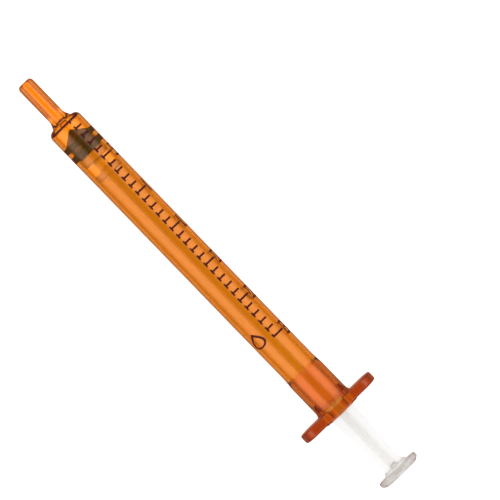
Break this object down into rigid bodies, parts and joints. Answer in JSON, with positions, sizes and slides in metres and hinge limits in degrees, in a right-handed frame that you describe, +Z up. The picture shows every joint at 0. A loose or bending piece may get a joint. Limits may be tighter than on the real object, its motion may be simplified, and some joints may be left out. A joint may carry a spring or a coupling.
{
  "type": "oral syringe",
  "caption": "Amber oral syringe with a blunt oral tip, finger flange, printed volume scale, ribbed rubber stopper and a cross-ribbed plunger rod with a thumb rest.",
  "frame": {"origin": "centre of the bounding box in plan, on the surface that the finger flange's lower flat rests on", "axes": "+X along the syringe towards the oral tip, Y across the wide way of the finger flange, +Z up, square to the flange's flats"},
  "size_m": [0.1248, 0.0218, 0.013],
  "materials": {
    "amber_plastic": "glossy, see-through amber",
    "stopper_rubber": "smooth dark grey rubber",
    "natural_plastic": "satin, slightly see-through",
    "scale_ink": "thin printed ink"
  },
  "bodies": {
    "barrel": {"barrel": "amber_plastic"},
    "stopper": {"stopper": "stopper_rubber"},
    "plunger_rod": {"plunger_rod": "natural_plastic"}
  },
  "joints": [
    {"name": "plunger_slide", "type": "slide", "parent": "barrel", "child": "stopper", "axis": [-1, 0, 0], "range_m": [-0.0022, 0.077]},
    {"name": "plunger_turn", "type": "hinge", "parent": "stopper", "child": "plunger_rod", "pos_m": [0.0416, 0, 0.0065], "axis": [1, 0, 0], "continuous": true}
  ]
}
